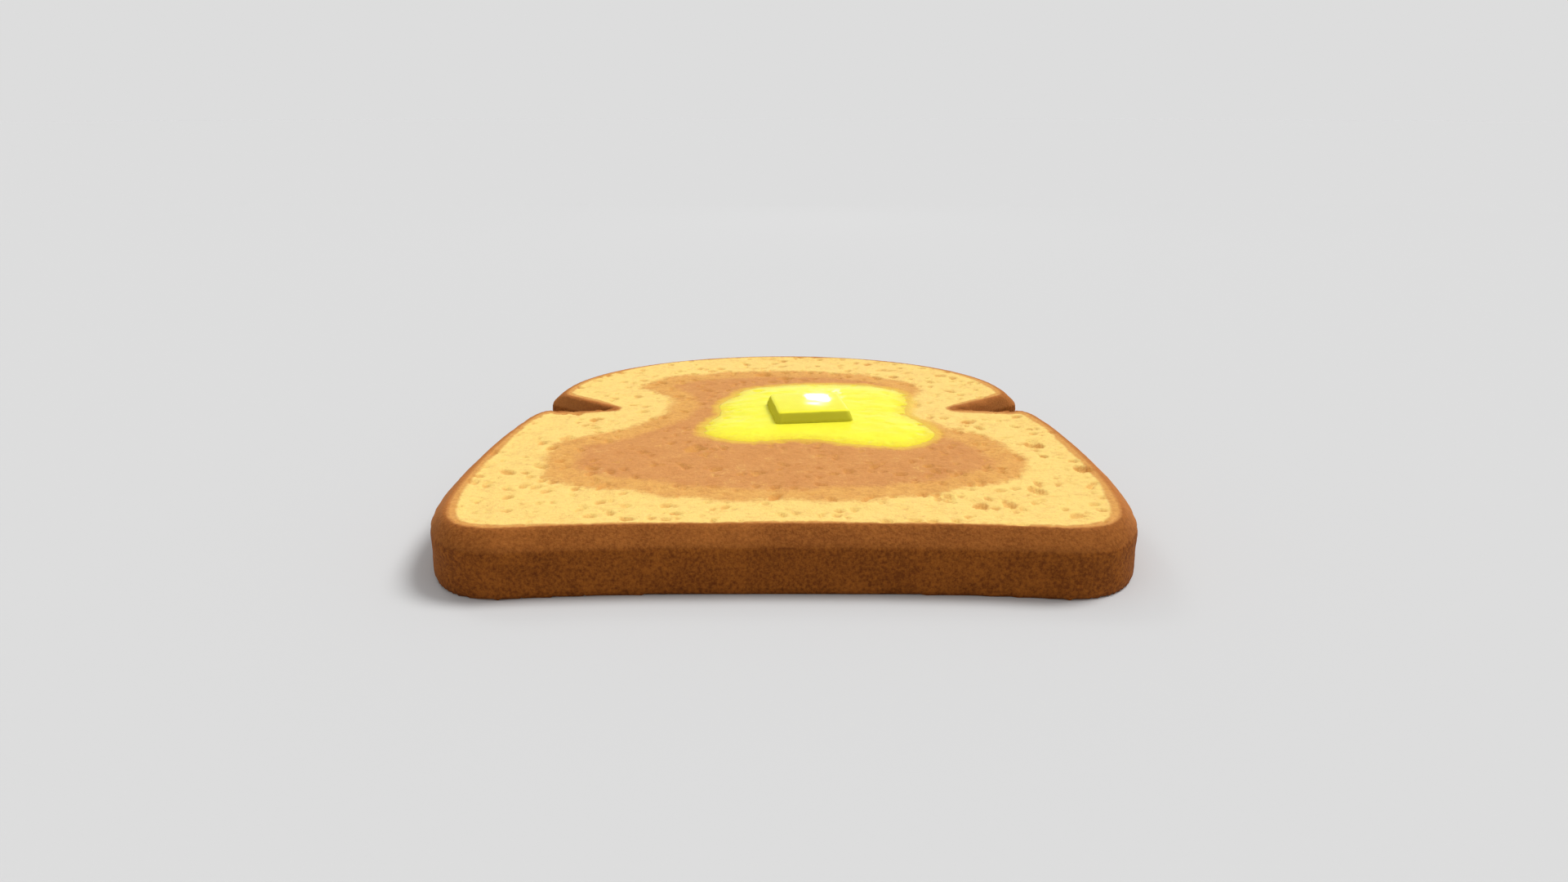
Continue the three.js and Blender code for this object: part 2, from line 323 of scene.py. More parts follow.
def flat_face_edge(mesh, up):
    """Both ends of every edge where the faces that look straight up (or down) meet the rest."""
    sides = {}
    for face in mesh.polygons:
        for key in face.edge_keys:
            sides.setdefault(key, []).append(face.normal.z * up > 0.95)
    keys = [key for key, flat in sides.items() if len(flat) == 2 and flat[0] != flat[1]]
    points = positions(mesh)
    return points[[key[0] for key in keys]], points[[key[1] for key in keys]]


def foot_line(node):
    """Both ends of every edge round the flat underside of a CAD node."""
    measured = copy_of_node(node, "measured_foot")
    line = flat_face_edge(measured.data, -1)
    bpy.data.objects.remove(measured)
    return line


def smooth_loop(corners, steps=8):
    """Both ends of every step of a smooth closed curve through the corners, given in millimetres."""
    points = np.array(corners, float) * MM
    before, after, beyond = (np.roll(points, shift, axis=0) for shift in (1, -1, -2))
    curve = []
    for t in np.linspace(0, 1, steps, endpoint=False):
        curve.append(0.5 * (
            2 * points + (after - before) * t
            + (2 * before - 5 * points + 4 * after - beyond) * t * t
            + (3 * points - before - 3 * after + beyond) * t ** 3))
    curve = np.stack(curve, axis=1).reshape(-1, 2)
    return curve, np.roll(curve, -1, axis=0)


def inside_distance(points, starts, ends):
    """How far each point lies from a closed line: positive inside it, seen from above."""
    nearest = np.full(len(points), np.inf)
    crossings = np.zeros(len(points), int)
    for start, end in zip(starts, ends):
        step = end - start
        share = np.clip((points[:, :len(step)] - start) @ step / max(step @ step, 1e-18), 0, 1)
        apart = points[:, :len(step)] - start - share[:, None] * step
        nearest = np.minimum(nearest, (apart * apart).sum(axis=1))
        straddles = (points[:, 1] < start[1]) != (points[:, 1] < end[1])
        if straddles.any():
            height = (points[:, 1] - start[1]) / (end[1] - start[1])
            crossings += straddles & (points[:, 0] < start[0] + height * step[0])
    return np.sqrt(nearest) * np.where(crossings % 2, 1, -1)


def store(mesh, name, values):
    attribute = mesh.attributes.new(name, "FLOAT", "POINT")
    attribute.data.foreach_set("value", np.asarray(values, np.float32))


def geometry_group(name):
    """An empty geometry node group and its graph, its incoming geometry and its output node."""
    tree = bpy.data.node_groups.new(name, "GeometryNodeTree")
    tree.interface.new_socket("Geometry", in_out="INPUT", socket_type="NodeSocketGeometry")
    tree.interface.new_socket("Geometry", in_out="OUTPUT", socket_type="NodeSocketGeometry")
    graph = Graph(tree)
    source = graph.node("NodeGroupInput").outputs[0]
    target = graph.node("NodeGroupOutput")
    return graph, source, target


def named(graph, name):
    made = graph.node("GeometryNodeInputNamedAttribute", {"Name": name}, data_type="FLOAT")
    return made.outputs[0]


def finish_piece(piece, node, material):
    """Cleans the piece, gives it its material and hands it to the frame in place of its CAD node."""
    piece.data.materials.append(material)
    only(piece)
    bpy.ops.object.mode_set(mode="EDIT")
    bpy.ops.mesh.select_all(action="SELECT")
    bpy.ops.mesh.dissolve_degenerate(threshold=MERGED)
    bpy.ops.object.mode_set(mode="OBJECT")
    bpy.ops.object.shade_smooth()
    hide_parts(node)
    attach(piece, "root")


def new_material(name):
    """A material with an empty tree, its graph and its principled shader."""
    material = bpy.data.materials.new(name)
    material.use_nodes = True
    material.node_tree.nodes.clear()
    graph = Graph(material.node_tree)
    shader = graph.node("ShaderNodeBsdfPrincipled")
    graph.node("ShaderNodeOutputMaterial", {"Surface": shader.outputs[0]})
    return material, graph, shader


def attribute(graph, name):
    return graph.node("ShaderNodeAttribute", attribute_name=name).outputs["Fac"]


# ---- Toasted slice -------------------------------------------------------------


def crumb_holes(graph, place, settings):
    """Depth of the crumb's open bubbles and small holes, torn out of round."""
    drawn_out = graph.warped(place, 7 * MM, 5 * MM)
    torn = graph.warped(drawn_out, 1.8 * MM, 1.7 * MM, 3.0)
    bubbles = graph.bubbles(torn, settings.bubble_spacing, settings.bubble, 0.5)
    pinholes = graph.bubbles(torn, settings.pinhole_spacing, settings.pinhole, 0.2)
    return graph.math("MAXIMUM", bubbles, pinholes)


def keep_hole(graph, moved, hole, target):
    """Stores the holes' depth in millimetres on the moved mesh, for its material."""
    kept = graph.node(
        "GeometryNodeStoreNamedAttribute",
        {"Geometry": moved.outputs[0], "Name": "hole", "Value": graph.math("DIVIDE", hole, MM)},
        data_type="FLOAT", domain="POINT")
    graph.tree.links.new(kept.outputs[0], target.inputs[0])


def slice_relief(settings):
    """Geometry nodes that open the crumb's bubbles and wrinkle the crust."""
    graph, source, target = geometry_group("Crumb and crust relief")
    place = graph.node("GeometryNodeInputPosition").outputs[0]
    normal = graph.node("GeometryNodeInputNormal").outputs[0]
    rim = named(graph, "rim")

    # Open crumb: none beside the crust, little below the butter, and all pressed up underneath.
    hole = crumb_holes(graph, place, settings)
    crumb = graph.smooth(rim, 0.5 * MM, 2.0 * MM)
    flooded = graph.smooth(named(graph, "butter"), -2.6 * MM, -0.2 * MM, 1.0, 0.15)
    hole = graph.math("MULTIPLY", hole, graph.math("MULTIPLY", crumb, flooded))
    depth = graph.math("MULTIPLY", hole, settings.bubble_depth)
    walls = graph.math("MULTIPLY", graph.noise(place, 1.5 * MM, 3.0), settings.roughness_height)
    damped = graph.math("MAXIMUM", flooded, 0.4)
    walls = graph.math("MULTIPLY", walls, graph.math("MULTIPLY", crumb, damped))
    facing = graph.math("SIGN", graph.split(normal)[2])
    underside = graph.math("LESS_THAN", facing, 0.0)
    pressed = graph.math("MULTIPLY", underside, settings.roughness_height)
    lift = graph.math("SUBTRACT", graph.math("SUBTRACT", walls, depth), pressed)
    crumb_offset = graph.up(graph.math("MULTIPLY", lift, facing))

    # Crust: wrinkled mostly inwards.
    crust = graph.smooth(rim, -0.8 * MM, 0.4 * MM, 1.0, 0.0)
    swell = graph.noise(place, 7 * MM, 2.0)
    wrinkle = graph.noise(place, 1.9 * MM, 2.0)
    wrinkles = graph.math("ADD", swell, graph.math("MULTIPLY", wrinkle, 0.45))
    inward = graph.math("MULTIPLY", graph.math("SUBTRACT", wrinkles, 0.28), settings.wrinkle_height)
    crust_offset = graph.scaled(normal, graph.math("MULTIPLY", inward, crust))

    # The crust's creases were rounded by the grid: they are evened out, then sharpened again.
    even = graph.blurred(place, 3)
    crisp = graph.blurred(graph.vector("SUBTRACT", even, graph.blurred(place, 12)), 3)
    crisp = graph.scaled(crisp, settings.crisp_edges)
    crisp = graph.vector("ADD", crisp, graph.vector("SUBTRACT", even, place))
    crisp = graph.scaled(crisp, crust)

    # The foot stays on the floor, and everything stays inside the solid's own box.
    offset = graph.vector("ADD", crumb_offset, crust_offset)
    floor = graph.smooth(graph.split(place)[2], 0.0, 0.6 * MM)
    offset = graph.scaled(offset, graph.math("MAXIMUM", floor, crumb))
    place = graph.vector("ADD", place, graph.vector("ADD", offset, crisp))
    place = graph.vector("MAXIMUM", place, tuple(CAD_LOW))
    place = graph.vector("MINIMUM", place, tuple(CAD_HIGH))
    moved = graph.node("GeometryNodeSetPosition", {"Geometry": source, "Position": place})
    keep_hole(graph, moved, hole, target)
    return graph.tree


def bread_material(settings):
    material, graph, shader = new_material("Toasted bread")
    place = graph.node("ShaderNodeTexCoord").outputs["Object"]
    rim = graph.math("DIVIDE", attribute(graph, "rim"), MM)
    browned = graph.math("DIVIDE", attribute(graph, "browned"), MM)
    butter = graph.math("DIVIDE", attribute(graph, "butter"), MM)
    hole = attribute(graph, "hole")

    # Zones of browning, in millimetres from the edge of the browned middle.
    wander = graph.math("MULTIPLY", graph.noise(place, 9 * MM, 2.0), 5.0)
    fray = graph.math("MULTIPLY", graph.noise(place, 1.2 * MM, 3.0, 0.7), 4.0)
    reach = graph.math("ADD", browned, graph.math("ADD", wander, fray))
    ring = graph.smooth(reach, -1.2, 1.4)
    ring_mm = settings.ring_width / MM
    middle = graph.smooth(reach, ring_mm - 1.6, ring_mm + 1.6)
    crumb = graph.mix(ring, rgba(settings.pale), rgba(settings.warm))
    crumb = graph.mix(middle, crumb, rgba(settings.brown))

    # Toasted specks and spared spots.
    grain = graph.noise(place, 0.9 * MM, 4.0, 0.75)
    blush = graph.math("MULTIPLY", graph.noise(place, 3.2 * MM, 2.0), 0.5)
    grain = graph.math("ADD", grain, blush)
    high_spot = graph.mix(ring, rgba(settings.warm), rgba(settings.toasted))
    crumb = graph.mix(graph.smooth(grain, -0.1, 0.32, 0.0, 0.55), crumb, high_spot)
    spared = graph.smooth(grain, -0.32, -0.06, 0.4, 0.0)
    crumb = graph.mix(spared, crumb, rgba(settings.pale))

    # Insides of the holes, crumb that tilts away from the flat face, and the finest pores take another
    # colour. On the pale crumb it is darker and warmer, painted shade in the hollows; in the browned
    # middle it is paler, the less toasted hollows.
    facing = graph.split(graph.node("ShaderNodeNewGeometry").outputs["Normal"])[2]
    # Painted shade on the pale crumb: tilted walls and holes are darkened towards the warm colour; in the
    # browned middle they turn paler like real untoasted hollows.
    tilted_shade_and_hollow = graph.smooth(graph.math("ABSOLUTE", facing), 0.72, 0.98, 0.8, 0.0)
    hollow_shade_and_tone = graph.math("MAXIMUM", graph.smooth(hole, 0.0, 0.6, 0.0, 0.55), tilted_shade_and_hollow)
    hollow_tone_and_shade_colour = graph.mix(middle, rgba(settings.warm), rgba(settings.line))
    crumb = graph.mix(hollow_shade_and_tone, crumb, hollow_tone_and_shade_colour)
    pores = graph.smooth(graph.noise(place, settings.pore, 3.0, 0.6), 0.08, 0.3)
    crumb = graph.mix(graph.math("MULTIPLY", pores, 0.45), crumb, rgba(settings.line))

    # Crumb soaked with butter.
    soak_fray = graph.math("MULTIPLY", graph.noise(place, 2.2 * MM, 3.0), 2.6)
    soak = graph.smooth(graph.math("ADD", butter, soak_fray), -2.2, 0.3)
    crumb = graph.mix(graph.math("MULTIPLY", soak, 0.9), crumb, rgba(settings.soaked))

    # Crust: dark and mottled below. It is lighter on the bevel, partly the crust's own paler edge and
    # partly painted light on the upward-facing bevel. It is palest at the slice's sides, where the paler
    # bevel is painted light.
    mottle = graph.noise(place, 0.6 * MM, 4.0, 0.75)
    patches = graph.noise(place, 7 * MM, 2.0)
    speck = graph.smooth(graph.math("ADD", mottle, graph.math("MULTIPLY", patches, 0.3)), -0.26, 0.26)
    crust = graph.mix(speck, rgba(settings.crust_dark), rgba(settings.crust))
    height = graph.split(place)[2]
    # The bevelled upper edge gets the lighter crust: partly its own paler edge, partly painted light
    # because it faces up.
    bevel = graph.smooth(height, SLICE_HIGH.z - 3.3 * MM, SLICE_HIGH.z - 2.6 * MM)
    upper = graph.mix(speck, rgba(settings.crust_middle_partly_lit), rgba(settings.crust_light_partly_lit))
    east, north, _ = graph.split(place)
    across = graph.math("ABSOLUTE", east)
    # Painted light: the bevel towards the slice's sides is mixed towards a paler crust, as if the light
    # fell on it there.
    painted_side_light = graph.smooth(across, 28 * MM, 46 * MM)
    painted_side_light = graph.math("MULTIPLY", painted_side_light, graph.smooth(north, -60 * MM, -46 * MM))
    painted_side_light = graph.math("MULTIPLY", painted_side_light, graph.smooth(north, -5 * MM, 22 * MM, 0.45, 0.3))
    upper = graph.mix(painted_side_light, upper, rgba(settings.crust_side_lit))
    crust = graph.mix(bevel, crust, upper)

    # Tan line where the crumb meets the crust.
    line_fray = graph.math("MULTIPLY", graph.noise(place, 1.0 * MM, 3.0), 0.7)
    from_crust = graph.math("SUBTRACT", graph.math("ADD", rim, line_fray), settings.crust_lip / MM)
    line = graph.smooth(across, 30 * MM, 50 * MM, settings.thin_line / MM, settings.wide_line / MM)
    line = graph.math("ADD", line, graph.math("MULTIPLY", graph.noise(place, 12 * MM, 2.0), 2.2))
    beyond_line = graph.math("SUBTRACT", from_crust, graph.math("MAXIMUM", line, 0.2))
    fleck = graph.smooth(graph.noise(place, 0.8 * MM, 4.0, 0.7), -0.25, 0.25, 0.6, 0.0)
    dark = graph.math("MAXIMUM", fleck, graph.smooth(from_crust, 0.1, 0.7, 0.9, 0.0))
    dark = graph.math("MAXIMUM", dark, graph.smooth(beyond_line, -0.5, 0.1, 0.0, 0.45))
    tan = graph.mix(dark, rgba(settings.line), rgba(settings.line_dark))
    surface = graph.mix(graph.smooth(beyond_line, -0.3, 0.4), tan, crumb)
    surface = graph.mix(graph.smooth(from_crust, -0.3, 0.15), crust, surface)

    # Fine fibres and pores.
    fibres = graph.math("MULTIPLY", graph.noise(place, 0.4 * MM, 3.0, 0.6), 0.16 * MM)
    inner = graph.smooth(rim, 0.2, 1.2)
    pitted = graph.math("MULTIPLY", graph.math("MULTIPLY", pores, inner), -settings.pore_depth)
    bump = graph.node("ShaderNodeBump", {"Distance": 1.0, "Height": graph.math("ADD", fibres, pitted)})
    rough = graph.smooth(soak, 0.0, 1.0, 0.88, 0.4)
    links = graph.tree.links
    links.new(surface, shader.inputs["Base Color"])
    links.new(rough, shader.inputs["Roughness"])
    links.new(bump.outputs[0], shader.inputs["Normal"])
    shader.inputs["Specular IOR Level"].default_value = 0.14
    shader.inputs["Subsurface Weight"].default_value = 0.15
    shader.inputs["Subsurface Radius"].default_value = (1.0, 0.45, 0.15)
    shader.inputs["Subsurface Scale"].default_value = 1.2 * MM
    return material


class TOAST_OT_bread(bpy.types.Operator):
    """Bake the slice: a rough porous crumb inside a dark wrinkled crust"""

    bl_idname = "toast.bread"
    bl_label = "Bake the slice"

    def execute(self, context):
        settings = context.scene.toast_bread
        piece = copy_of_node("toast_slice", "toasted_slice")
        upper_line = flat_face_edge(piece.data, 1)
        lower_line = flat_face_edge(piece.data, -1)
        starts, ends = foot_line("butter_puddle")
        apply_modifier(piece, "REMESH", mode="VOXEL", voxel_size=settings.voxel)
        apply_modifier(piece, "SMOOTH", factor=0.5, iterations=2)
        solid = copy_of_node("toast_slice", "measured_slice")
        apply_modifier(piece, "SHRINKWRAP", target=solid)
        bpy.data.objects.remove(solid)
        apply_modifier(piece, "SMOOTH", factor=0.25, iterations=1)
        select_faces(piece, lambda f: f.normal.z > 0.9 and f.center.z > SLICE_HIGH.z - 1.2 * MM)
        bpy.ops.object.mode_set(mode="EDIT")
        bpy.ops.mesh.subdivide(number_cuts=1, smoothness=0)
        bpy.ops.object.mode_set(mode="OBJECT")

        points = positions(piece.data)
        upper = points[:, 2] > HALF_THICKNESS
        crust_below = 1.3 * MM
        lower_rim = inside_distance(points, *lower_line) - crust_below
        rim = np.where(upper, inside_distance(points, *upper_line), lower_rim)
        steep = np.abs(normals(piece.data)[:, 2]) < 0.8
        rim = np.where(steep, -np.abs(rim), rim)
        store(piece.data, "rim", rim)
        store(piece.data, "browned", inside_distance(points, *smooth_loop(BROWNED_EDGE)))
        dry = -20 * MM
        butter = inside_distance(points[:, :2], starts[:, :2], ends[:, :2])
        store(piece.data, "butter", np.where(upper, butter, dry))
        apply_modifier(piece, "NODES", node_group=slice_relief(settings))
        finish_piece(piece, "toast_slice", bread_material(settings))
        return {"FINISHED"}


# ---- Melted butter -------------------------------------------------------------


def film_relief(settings, bread):
    """Geometry nodes that thin the film to its edge, sag it over the holes and lift it round the pat."""
    graph, source, target = geometry_group("Melted butter film")
    place = graph.node("GeometryNodeInputPosition").outputs[0]
    inset = named(graph, "inset")
    pat = named(graph, "pat_gap")
    full = PUDDLE_HIGH.z - PUDDLE_LOW.z
    height = graph.math("SUBTRACT", graph.split(place)[2], CRUMB_LEVEL)
    top = graph.smooth(height, 0.02 * MM, 0.12 * MM)

    # Depth: nothing at the edge, which dips below the crumb, and full further in.
    dip = 0.12 * MM
    headroom = 0.08 * MM
    share = graph.math("DIVIDE", inset, settings.film_edge)
    share = graph.math("MINIMUM", graph.math("MAXIMUM", share, 0.0), 1.0)
    bulge = graph.math("POWER", share, 0.7)
    bulge = graph.math("MULTIPLY", bulge, full - headroom + dip)
    bulge = graph.math("SUBTRACT", bulge, dip)

    # Ripples that sag over the holes and calm down towards the pat, where the film climbs.
    ripple = graph.math("MULTIPLY", graph.noise(place, 4 * MM, 2.0), 0.3 * MM)
    calm = graph.smooth(pat, 0.5 * MM, 5 * MM, 0.3, 1.0)
    ripple = graph.math("MULTIPLY", ripple, calm)
    fall = graph.math("MULTIPLY", graph.math("DIVIDE", pat, settings.meniscus_width), -1.0)
    climb = graph.math("MULTIPLY", graph.math("EXPONENT", fall), settings.meniscus)
    hole = crumb_holes(graph, place, bread)
    sag = graph.math("MULTIPLY", hole, graph.smooth(inset, 1 * MM, 7 * MM, -0.25, -0.06))
    ripple = graph.math("ADD", ripple, graph.math("MULTIPLY", sag, calm))
    level = graph.math("ADD", graph.math("ADD", bulge, ripple), climb)

    # The underside sinks into the crumb, so no gap shows over the holes.
    upper = graph.math("SUBTRACT", level, height)
    lower = -0.9 * MM
    shift = graph.node("ShaderNodeMix", {0: top, 2: lower, 3: upper}, data_type="FLOAT").outputs[0]
    moved = graph.node("GeometryNodeSetPosition", {"Geometry": source, "Offset": graph.up(shift)})
    keep_hole(graph, moved, hole, target)
    return graph.tree


def melted_material(settings):
    material, graph, shader = new_material("Melted butter")
    place = graph.node("ShaderNodeTexCoord").outputs["Object"]
    # Yellow where it is deep, golden in clouds and at its thin edge, over crumb that shows through.
    inset = graph.math("DIVIDE", attribute(graph, "inset"), MM)
    fray = graph.math("MULTIPLY", graph.noise(place, 1.6 * MM, 3.0), 2.6)
    deep = graph.smooth(graph.math("ADD", inset, fray), 0.0, 4.2)
    cloud = graph.smooth(graph.noise(place, 4.5 * MM, 3.0), -0.25, 0.25, 0.4, 0.0)
    shallow = graph.smooth(inset, 2.0, 8.0, 0.5, 0.15)
    over_hole = graph.smooth(attribute(graph, "hole"), 0.1, 0.9, 0.0, shallow)
    colour_here = graph.mix(deep, rgba(settings.melted_edge), rgba(settings.melted))
    colour_here = graph.mix(graph.math("MAXIMUM", cloud, over_hole), colour_here, rgba(settings.golden))
    grain = graph.smooth(graph.noise(place, 0.9 * MM, 4.0, 0.75), -0.1, 0.25, 0.0, 0.5)
    showing = graph.math("MULTIPLY", grain, graph.smooth(inset, 0.5, 5.0, 1.0, 0.1))
    colour_here = graph.mix(showing, colour_here, rgba(settings.bread_below))

    # Low waves and uneven gloss.
    waves = graph.math("MULTIPLY", graph.noise(place, 2.2 * MM, 2.0), 0.07 * MM)
    bump = graph.node("ShaderNodeBump", {"Distance": 1.0, "Height": waves})
    rough = graph.smooth(graph.noise(place, 3 * MM, 2.0), -0.3, 0.3, 0.12, 0.24)
    links = graph.tree.links
    links.new(colour_here, shader.inputs["Base Color"])
    links.new(rough, shader.inputs["Roughness"])
    links.new(bump.outputs[0], shader.inputs["Normal"])
    shader.inputs["Specular IOR Level"].default_value = 0.06
    shader.inputs["Subsurface Weight"].default_value = 0.3
    shader.inputs["Subsurface Radius"].default_value = (1.0, 0.8, 0.2)
    shader.inputs["Subsurface Scale"].default_value = 1.5 * MM
    return material


def pat_side_gap(points):
    """Distance from the pat's foot, measured outwards from its turned square, in metres."""
    starts, ends = foot_line("butter_pat")
    outward = -inside_distance(points[:, :2], starts[:, :2], ends[:, :2])
    return np.maximum(outward, 0.0)


class TOAST_OT_melted_butter(bpy.types.Operator):
    """Pour the melted butter: a glossy film that thins to nothing at its edge"""

    bl_idname = "toast.melted_butter"
    bl_label = "Pour the melted butter"

    def execute(self, context):
        settings = context.scene.toast_butter
        piece = copy_of_node("butter_puddle", "melted_butter")
        starts, ends = flat_face_edge(piece.data, -1)
        apply_modifier(piece, "REMESH", mode="VOXEL", voxel_size=settings.film_voxel)
        apply_modifier(piece, "SMOOTH", factor=0.5, iterations=2)
        points = positions(piece.data)
        store(piece.data, "inset", inside_distance(points[:, :2], starts[:, :2], ends[:, :2]))
        store(piece.data, "pat_gap", pat_side_gap(points))
        apply_modifier(piece, "NODES", node_group=film_relief(settings, context.scene.toast_bread))
        finish_piece(piece, "butter_puddle", melted_material(settings))
        return {"FINISHED"}


# ---- Pat of butter -------------------------------------------------------------


def pat_relief(settings):
    """Geometry nodes that soften the cut pat."""
    graph, source, target = geometry_group("Soft pat of butter")
    place = graph.node("GeometryNodeInputPosition").outputs[0]
    normal = graph.node("GeometryNodeInputNormal").outputs[0]
    # Soft unevenness, mostly inwards and almost none on the upper face.
    broad = graph.noise(place, 6 * MM, 1.0)
    small = graph.math("MULTIPLY", graph.noise(place, 2.0 * MM, 2.0), 0.05)
    lift = graph.math("SUBTRACT", graph.math("ADD", broad, small), 0.3)
    facing = graph.split(normal)[2]
    lift = graph.math("MULTIPLY", lift, graph.smooth(facing, 0.5, 0.95, 1.0, 0.16))
    lift = graph.math("MULTIPLY", lift, settings.pat_softness)
    offset = graph.scaled(normal, lift)

    # The foot sinks into the film, and the upper face falls off towards its edges.
    height = graph.split(place)[2]
    foot = graph.smooth(height, PAT_LOW.z, PAT_LOW.z + 0.5 * MM, -0.35 * MM, 0.0)
    middle = (PAT_LOW + PAT_HIGH) / 2
    middle.z = PAT_HIGH.z
    away = graph.node("ShaderNodeVectorMath", {0: place, 1: middle}, operation="DISTANCE").outputs["Value"]
    away = graph.math("DIVIDE", away, (PAT_HIGH.x - PAT_LOW.x) / 2)
    fall = graph.math("MULTIPLY", graph.math("MULTIPLY", away, away), -settings.pat_crown)
    upper = graph.smooth(height, PAT_LOW.z + 0.5 * MM, PAT_HIGH.z)
    crown = graph.math("MULTIPLY", fall, upper)
    offset = graph.vector("ADD", offset, graph.up(graph.math("ADD", foot, crown)))
    moved = graph.node("GeometryNodeSetPosition", {"Geometry": source, "Offset": offset})
    graph.tree.links.new(moved.outputs[0], target.inputs[0])
    return graph.tree


def pat_material(settings):
    material, graph, shader = new_material("Butter")
    place = graph.node("ShaderNodeTexCoord").outputs["Object"]
    # Streaks along the pat, and painted shade on its cut sides, which are darker than its upper face.
    stretched = graph.vector("MULTIPLY", place, (1.0, 0.3, 1.0))
    streak = graph.smooth(graph.noise(stretched, 2.2 * MM, 3.0), -0.25, 0.25, 0.0, 0.5)
    upper = graph.mix(streak, rgba(settings.pat), rgba(settings.pat_deep))
    facing = graph.split(graph.node("ShaderNodeNewGeometry").outputs["Normal"])[2]
    # Painted shade: faces that do not look up get the darker side colour.
    colour_here = graph.mix(graph.smooth(facing, 0.45, 0.9), rgba(settings.pat_side_shaded), upper)

    # A wet skin on the upper face alone.
    drawn = graph.vector("MULTIPLY", place, (1.0, 0.25, 1.0))
    skin = graph.math("MULTIPLY", graph.noise(drawn, 0.9 * MM, 4.0, 0.6), 0.006 * MM)
    bump = graph.node("ShaderNodeBump", {"Distance": 1.0, "Height": skin})
    rough = graph.smooth(graph.noise(place, 1.8 * MM, 2.0), -0.3, 0.3, 0.4, 0.5)
    links = graph.tree.links
    links.new(colour_here, shader.inputs["Base Color"])
    links.new(rough, shader.inputs["Roughness"])
    links.new(bump.outputs[0], shader.inputs["Normal"])
    links.new(graph.smooth(facing, 0.6, 0.95), shader.inputs["Coat Weight"])
    shader.inputs["Specular IOR Level"].default_value = 0.0
    shader.inputs["Coat Roughness"].default_value = 0.07
    shader.inputs["Coat IOR"].default_value = 1.27
    shader.inputs["Subsurface Weight"].default_value = 0.15
    shader.inputs["Subsurface Radius"].default_value = (1.0, 0.8, 0.25)
    shader.inputs["Subsurface Scale"].default_value = 1.5 * MM
    return material


class TOAST_OT_pat(bpy.types.Operator):
    """Lay the pat of butter, softened and starting to melt"""

    bl_idname = "toast.pat"
    bl_label = "Lay the pat of butter"

    def execute(self, context):
        settings = context.scene.toast_butter
        piece = copy_of_node("butter_pat", "butter_pat_soft")
        apply_modifier(piece, "REMESH", mode="VOXEL", voxel_size=settings.pat_voxel)
        apply_modifier(piece, "SMOOTH", factor=0.5, iterations=6)
        apply_modifier(piece, "NODES", node_group=pat_relief(settings))
        finish_piece(piece, "butter_pat", pat_material(settings))
        return {"FINISHED"}


# ---- Stage ---------------------------------------------------------------------


HORIZON_LIGHT = 0.723               # strength at which the sky meets the lit floor without a line
KEY_DIRECTION = Vector((0.55, 0.25, 0.95))
KEY_ANGLE = math.radians(25)
BACK_DIRECTION = Vector((-0.5, 0.75, 0.75))
BACK_ANGLE = math.radians(14)
GLINT_PLACE = Vector((7.8, 15.5, 13.9)) * MM        # where the small lamp shines in the pat
LAMP_DISTANCE = 600 * MM
LAMP_WIDTH, LAMP_HEIGHT = 20 * MM, 6 * MM
CAMERA_AIM = Vector((0, 2.9 * MM, HALF_THICKNESS))
SENSOR_WIDTH = 36
FRAME_SHAPE = 1920 / 1080


def floor_material(settings):
    material, _, shader = new_material("Pale floor")
    shader.inputs["Base Color"].default_value = rgba(settings.floor)
    shader.inputs["Roughness"].default_value = 0.9
    shader.inputs["Specular IOR Level"].default_value = 0.0
    return material


def light_sky(settings):
    """An even sky that is as pale as the floor at the horizon."""
    world = bpy.data.worlds.new("Studio sky")
    bpy.context.scene.world = world
    world.use_nodes = True
    world.node_tree.nodes.clear()
    graph = Graph(world.node_tree)
    height = graph.split(graph.node("ShaderNodeTexCoord").outputs["Generated"])[2]
    overhead = graph.smooth(height, 0.5, 0.75, settings.side_sky, settings.sky_strength)
    strength = graph.smooth(height, 0.19, 0.32, HORIZON_LIGHT, overhead)
    background = graph.node("ShaderNodeBackground", {"Color": (1, 1, 1, 1), "Strength": strength})
    graph.node("ShaderNodeOutputWorld", {"Surface": background.outputs[0]})


def add_light(kind, direction, strength, place=(0, 0, 0)):
    """A light that shines from a direction."""
    bpy.ops.object.light_add(type=kind, location=place,
                             rotation=direction.to_track_quat("Z", "Y").to_euler())
    light = bpy.context.object.data
    light.energy = strength
    return light


def add_camera(settings):
    back = Vector((0, -math.cos(settings.camera_elevation), math.sin(settings.camera_elevation)))
    bpy.ops.object.camera_add(location=CAMERA_AIM + back * settings.camera_distance,
                              rotation=(math.pi / 2 - settings.camera_elevation, 0, 0))
    camera = bpy.context.object
    camera.name = "Table camera"
    camera.data.sensor_width = SENSOR_WIDTH
    camera.data.lens = SENSOR_WIDTH / 2 / (math.tan(settings.camera_fov / 2) * FRAME_SHAPE)
    camera.data.clip_start = MM
    bpy.context.scene.camera = camera
    return camera


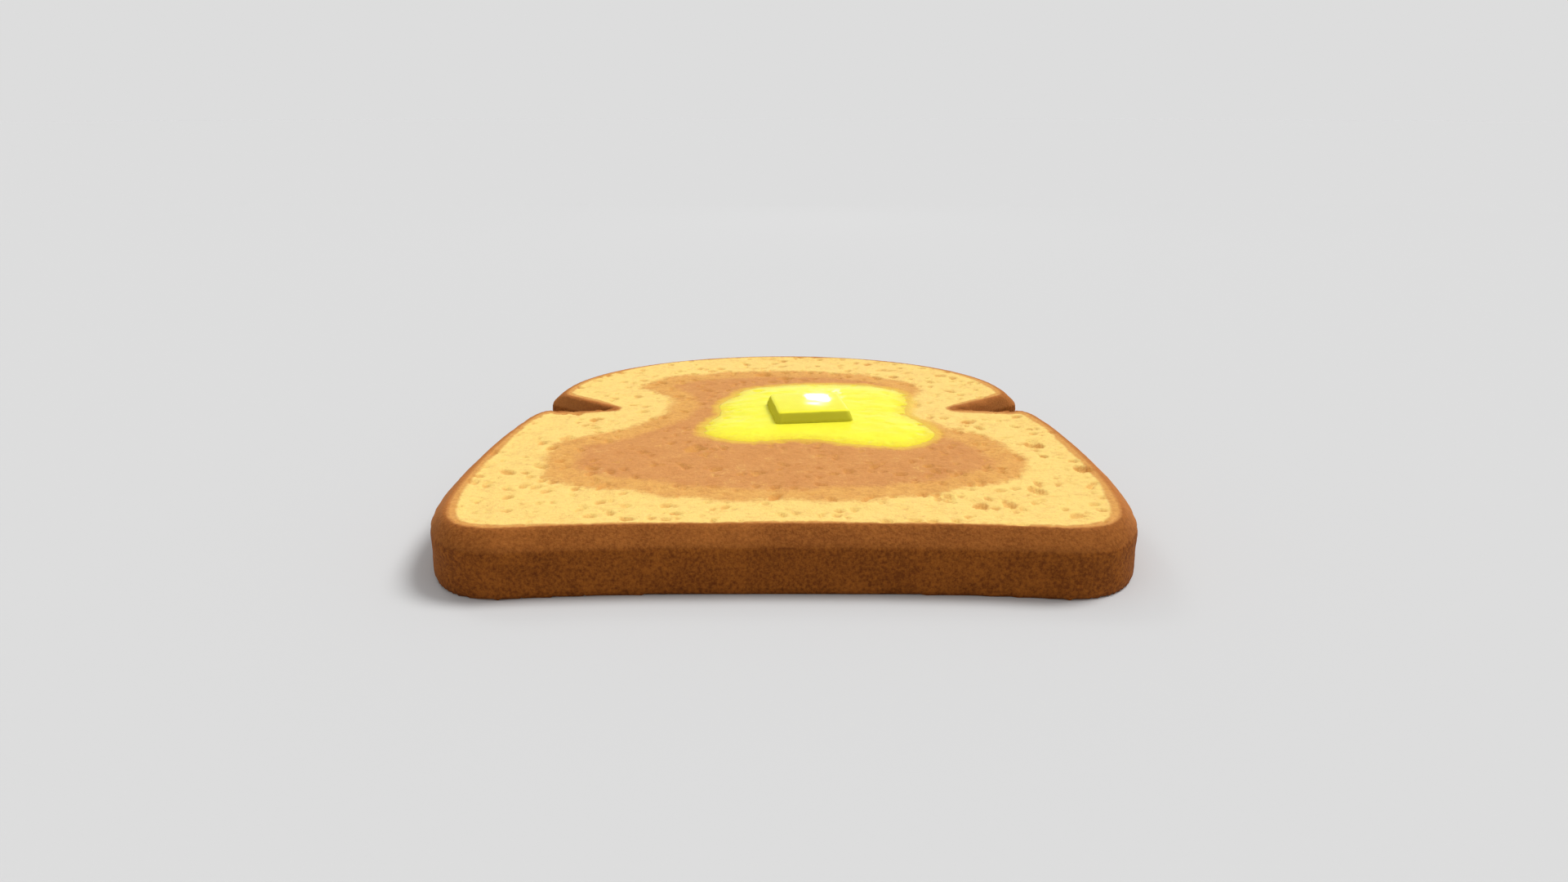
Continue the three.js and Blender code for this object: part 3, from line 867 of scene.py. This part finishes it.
def add_glint_lamp(settings, camera):
    """A small lamp placed so that the camera sees its reflection in the pat's flat top."""
    to_camera = camera.location - GLINT_PLACE
    toward_lamp = Vector((-to_camera.x, -to_camera.y, to_camera.z)).normalized()
    place = GLINT_PLACE + toward_lamp * LAMP_DISTANCE
    lamp = add_light("AREA", toward_lamp, settings.glint_strength, place)
    lamp.shape = "ELLIPSE"
    lamp.size = LAMP_WIDTH
    lamp.size_y = LAMP_HEIGHT


class TOAST_OT_stage(bpy.types.Operator):
    """Set up the pale floor, the soft studio light and the camera"""

    bl_idname = "toast.stage"
    bl_label = "Set up the stage"

    def execute(self, context):
        settings = context.scene.toast_stage
        context.scene.view_settings.view_transform = "Standard"
        bpy.ops.object.select_all(action="DESELECT")
        floor_radius = 6.0
        bpy.ops.mesh.primitive_circle_add(vertices=128, radius=floor_radius, fill_type="NGON")
        floor = context.object
        floor.name = "pale_floor"
        floor.data.materials.append(floor_material(settings))
        light_sky(settings)

        key = add_light("SUN", KEY_DIRECTION, settings.key_strength)
        key.angle = KEY_ANGLE
        back = add_light("SUN", BACK_DIRECTION, settings.back_strength)
        back.angle = BACK_ANGLE
        camera = add_camera(settings)
        add_glint_lamp(settings, camera)
        return {"FINISHED"}


class TOAST_PT_sidebar(bpy.types.Panel):
    """Lists the steps that make the toast."""

    bl_label = "Buttered toast"
    bl_idname = "TOAST_PT_sidebar"
    bl_space_type = "VIEW_3D"
    bl_region_type = "UI"
    bl_category = "Toast"

    def draw(self, context):
        for step in STEPS:
            self.layout.operator(step.bl_idname)


STEPS = (TOAST_OT_stage, TOAST_OT_bread, TOAST_OT_melted_butter, TOAST_OT_pat)
SETTINGS = {
    "toast_bread": ToastBreadSettings,
    "toast_butter": ToastButterSettings,
    "toast_stage": ToastStageSettings,
}


def register():
    for kind in (*SETTINGS.values(), *STEPS, TOAST_PT_sidebar):
        bpy.utils.register_class(kind)
    for name, kind in SETTINGS.items():
        setattr(bpy.types.Scene, name, PointerProperty(type=kind))


def unregister():
    for name in SETTINGS:
        delattr(bpy.types.Scene, name)
    for kind in reversed((*SETTINGS.values(), *STEPS, TOAST_PT_sidebar)):
        bpy.utils.unregister_class(kind)


def main():
    register()
    bpy.ops.toast.stage()
    bpy.ops.toast.bread()
    bpy.ops.toast.melted_butter()
    bpy.ops.toast.pat()


if __name__ == "__main__":
    main()
